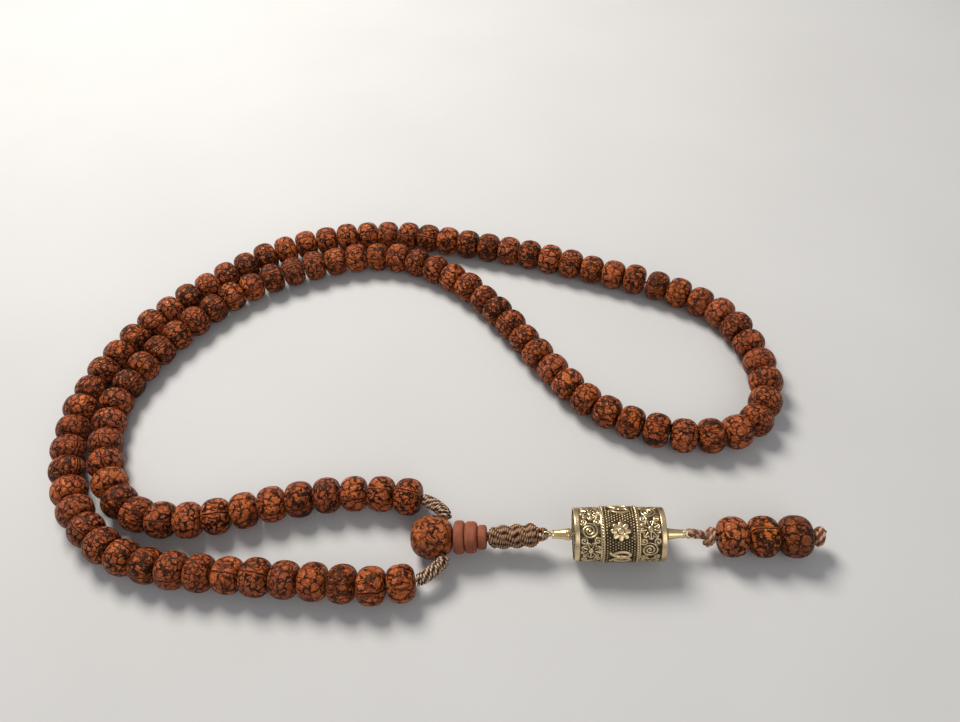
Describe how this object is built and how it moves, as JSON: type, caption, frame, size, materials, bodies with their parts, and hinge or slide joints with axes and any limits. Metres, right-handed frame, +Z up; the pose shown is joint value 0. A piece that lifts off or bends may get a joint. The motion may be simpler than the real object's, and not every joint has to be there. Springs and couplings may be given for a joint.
{
  "type": "mala prayer beads",
  "caption": "Strand of round brown seed beads on a cord, closed by a guru bead, with a pendant of turned discs, whipped cord, a small brass prayer wheel and a beaded tail.",
  "frame": {"origin": "on the resting surface, under the centre of the guru bead", "axes": "+X along the pendant from the guru bead to its tail, +Y to the side that the strand lies on, +Z up from the resting surface"},
  "size_m": [0.1755, 0.1167, 0.0116],
  "materials": {
    "seed_wood": "satin, polished by handling, brown with dark crack veins",
    "disc_wood": "matte turned wood, dusty red brown",
    "whipping_thread": "waxed thread, tan with dark brown flecks, wound tight",
    "cord_thread": "twisted waxed cord, brown",
    "tail_thread": "twisted cord, pinkish brown",
    "aged_brass": "antique brass, dark in the low places and rubbed bright on the high ones",
    "bright_brass": "polished brass",
    "silver": "polished nickel colour"
  },
  "bodies": {
    "root": {"bead_run_01": "seed_wood", "bead_run_02": "seed_wood", "bead_run_03": "seed_wood", "bead_run_04": "seed_wood", "bead_run_05": "seed_wood", "bead_run_06": "seed_wood", "bead_run_07": "seed_wood", "bead_run_08": "seed_wood", "bead_run_09": "seed_wood", "bead_run_10": "seed_wood", "bead_run_11": "seed_wood", "bead_run_12": "seed_wood", "bead_run_25": "seed_wood", "bead_run_26": "seed_wood", "bead_run_27": "seed_wood", "bead_run_28": "seed_wood", "bead_run_29": "seed_wood", "bead_run_30": "seed_wood", "bead_run_31": "seed_wood", "bead_run_32": "seed_wood", "bead_run_33": "seed_wood", "bead_run_34": "seed_wood", "bead_run_35": "seed_wood", "bead_run_36": "seed_wood", "upper_whipping": "whipping_thread", "lower_whipping": "whipping_thread", "stringing_cord": "cord_thread", "guru_bead": "seed_wood", "pendant_cord_upper": "cord_thread"},
    "strand_near_side": {"bead_run_13": "seed_wood", "bead_run_14": "seed_wood", "bead_run_15": "seed_wood", "bead_run_16": "seed_wood", "bead_run_17": "seed_wood", "bead_run_18": "seed_wood"},
    "strand_end": {"bead_run_19": "seed_wood", "bead_run_20": "seed_wood"},
    "strand_far_side": {"bead_run_21": "seed_wood", "bead_run_22": "seed_wood", "bead_run_23": "seed_wood", "bead_run_24": "seed_wood"},
    "disc_1": {"disc_1": "disc_wood"},
    "disc_2": {"disc_2": "disc_wood"},
    "disc_3": {"disc_3": "disc_wood"},
    "pendant_cord": {"pendant_whipping": "whipping_thread", "pendant_cord_loop": "cord_thread"},
    "wheel_axle": {"axle_pin": "bright_brass", "upper_cone": "bright_brass", "lower_cone": "bright_brass", "upper_washer": "silver"},
    "wheel_drum": {"drum_shell": "aged_brass", "drum_cap_upper": "aged_brass", "drum_cap_lower": "aged_brass"},
    "tail": {"tail_cord": "tail_thread"},
    "tail_bead_1": {"tail_bead_1": "seed_wood"},
    "tail_bead_2": {"tail_bead_2": "seed_wood"},
    "tail_bead_3": {"tail_bead_3": "seed_wood"}
  },
  "joints": [
    {"name": "strand_sway", "type": "hinge", "parent": "root", "child": "strand_near_side", "pos_m": [0.00729, 0.07295, 0.004], "axis": [0, 0, 1], "range_deg": [-6, 10], "deforming": ["stringing_cord"]},
    {"name": "strand_end_turn", "type": "hinge", "parent": "strand_near_side", "child": "strand_end", "pos_m": [0.07678, 0.04985, 0.004], "axis": [0, 0, 1], "range_deg": [-9.7, 5.9]},
    {"name": "strand_far_turn", "type": "hinge", "parent": "strand_end", "child": "strand_far_side", "pos_m": [0.05322, 0.07554, 0.004], "axis": [0, 0, 1], "range_deg": [-5.8, 9.6]},
    {"name": "disc_1_spin", "type": "hinge", "parent": "root", "child": "disc_1", "pos_m": [0.00575, 0, 0.0046], "axis": [1, 0, 0], "continuous": true},
    {"name": "disc_2_spin", "type": "hinge", "parent": "root", "child": "disc_2", "pos_m": [0.0082, 0, 0.0046], "axis": [1, 0, 0], "continuous": true},
    {"name": "disc_3_spin", "type": "hinge", "parent": "root", "child": "disc_3", "pos_m": [0.01055, 0, 0.0046], "axis": [1, 0, 0], "continuous": true},
    {"name": "pendant_swing", "type": "hinge", "parent": "root", "child": "pendant_cord", "pos_m": [0.0142, 0, 0.0046], "axis": [0, 0, 1], "range_deg": [-45, 5]},
    {"name": "wheel_lift", "type": "hinge", "parent": "pendant_cord", "child": "wheel_axle", "pos_m": [0.024, 0, 0.0058], "axis": [0, -1, 0], "range_deg": [0, 90]},
    {"name": "wheel_spin", "type": "hinge", "parent": "wheel_axle", "child": "wheel_drum", "pos_m": [0.0387, 0, 0.0058], "axis": [1, 0, 0], "continuous": true},
    {"name": "tail_swing", "type": "hinge", "parent": "wheel_axle", "child": "tail", "pos_m": [0.0533, 0, 0.0058], "axis": [0, 0, 1], "range_deg": [-60, 8]},
    {"name": "tail_bead_1_spin", "type": "hinge", "parent": "tail", "child": "tail_bead_1", "pos_m": [0.0622, 0, 0.0044], "axis": [1, 0, 0], "continuous": true},
    {"name": "tail_bead_2_spin", "type": "hinge", "parent": "tail", "child": "tail_bead_2", "pos_m": [0.06845, 0, 0.0044], "axis": [1, 0, 0], "continuous": true},
    {"name": "tail_bead_3_spin", "type": "hinge", "parent": "tail", "child": "tail_bead_3", "pos_m": [0.07485, 0, 0.0044], "axis": [1, 0, 0], "continuous": true}
  ],
  "couplings": [
    {"joint": "strand_end_turn", "follows": "strand_sway", "ratio": -0.96224},
    {"joint": "strand_far_turn", "follows": "strand_sway", "ratio": 0.94957}
  ]
}
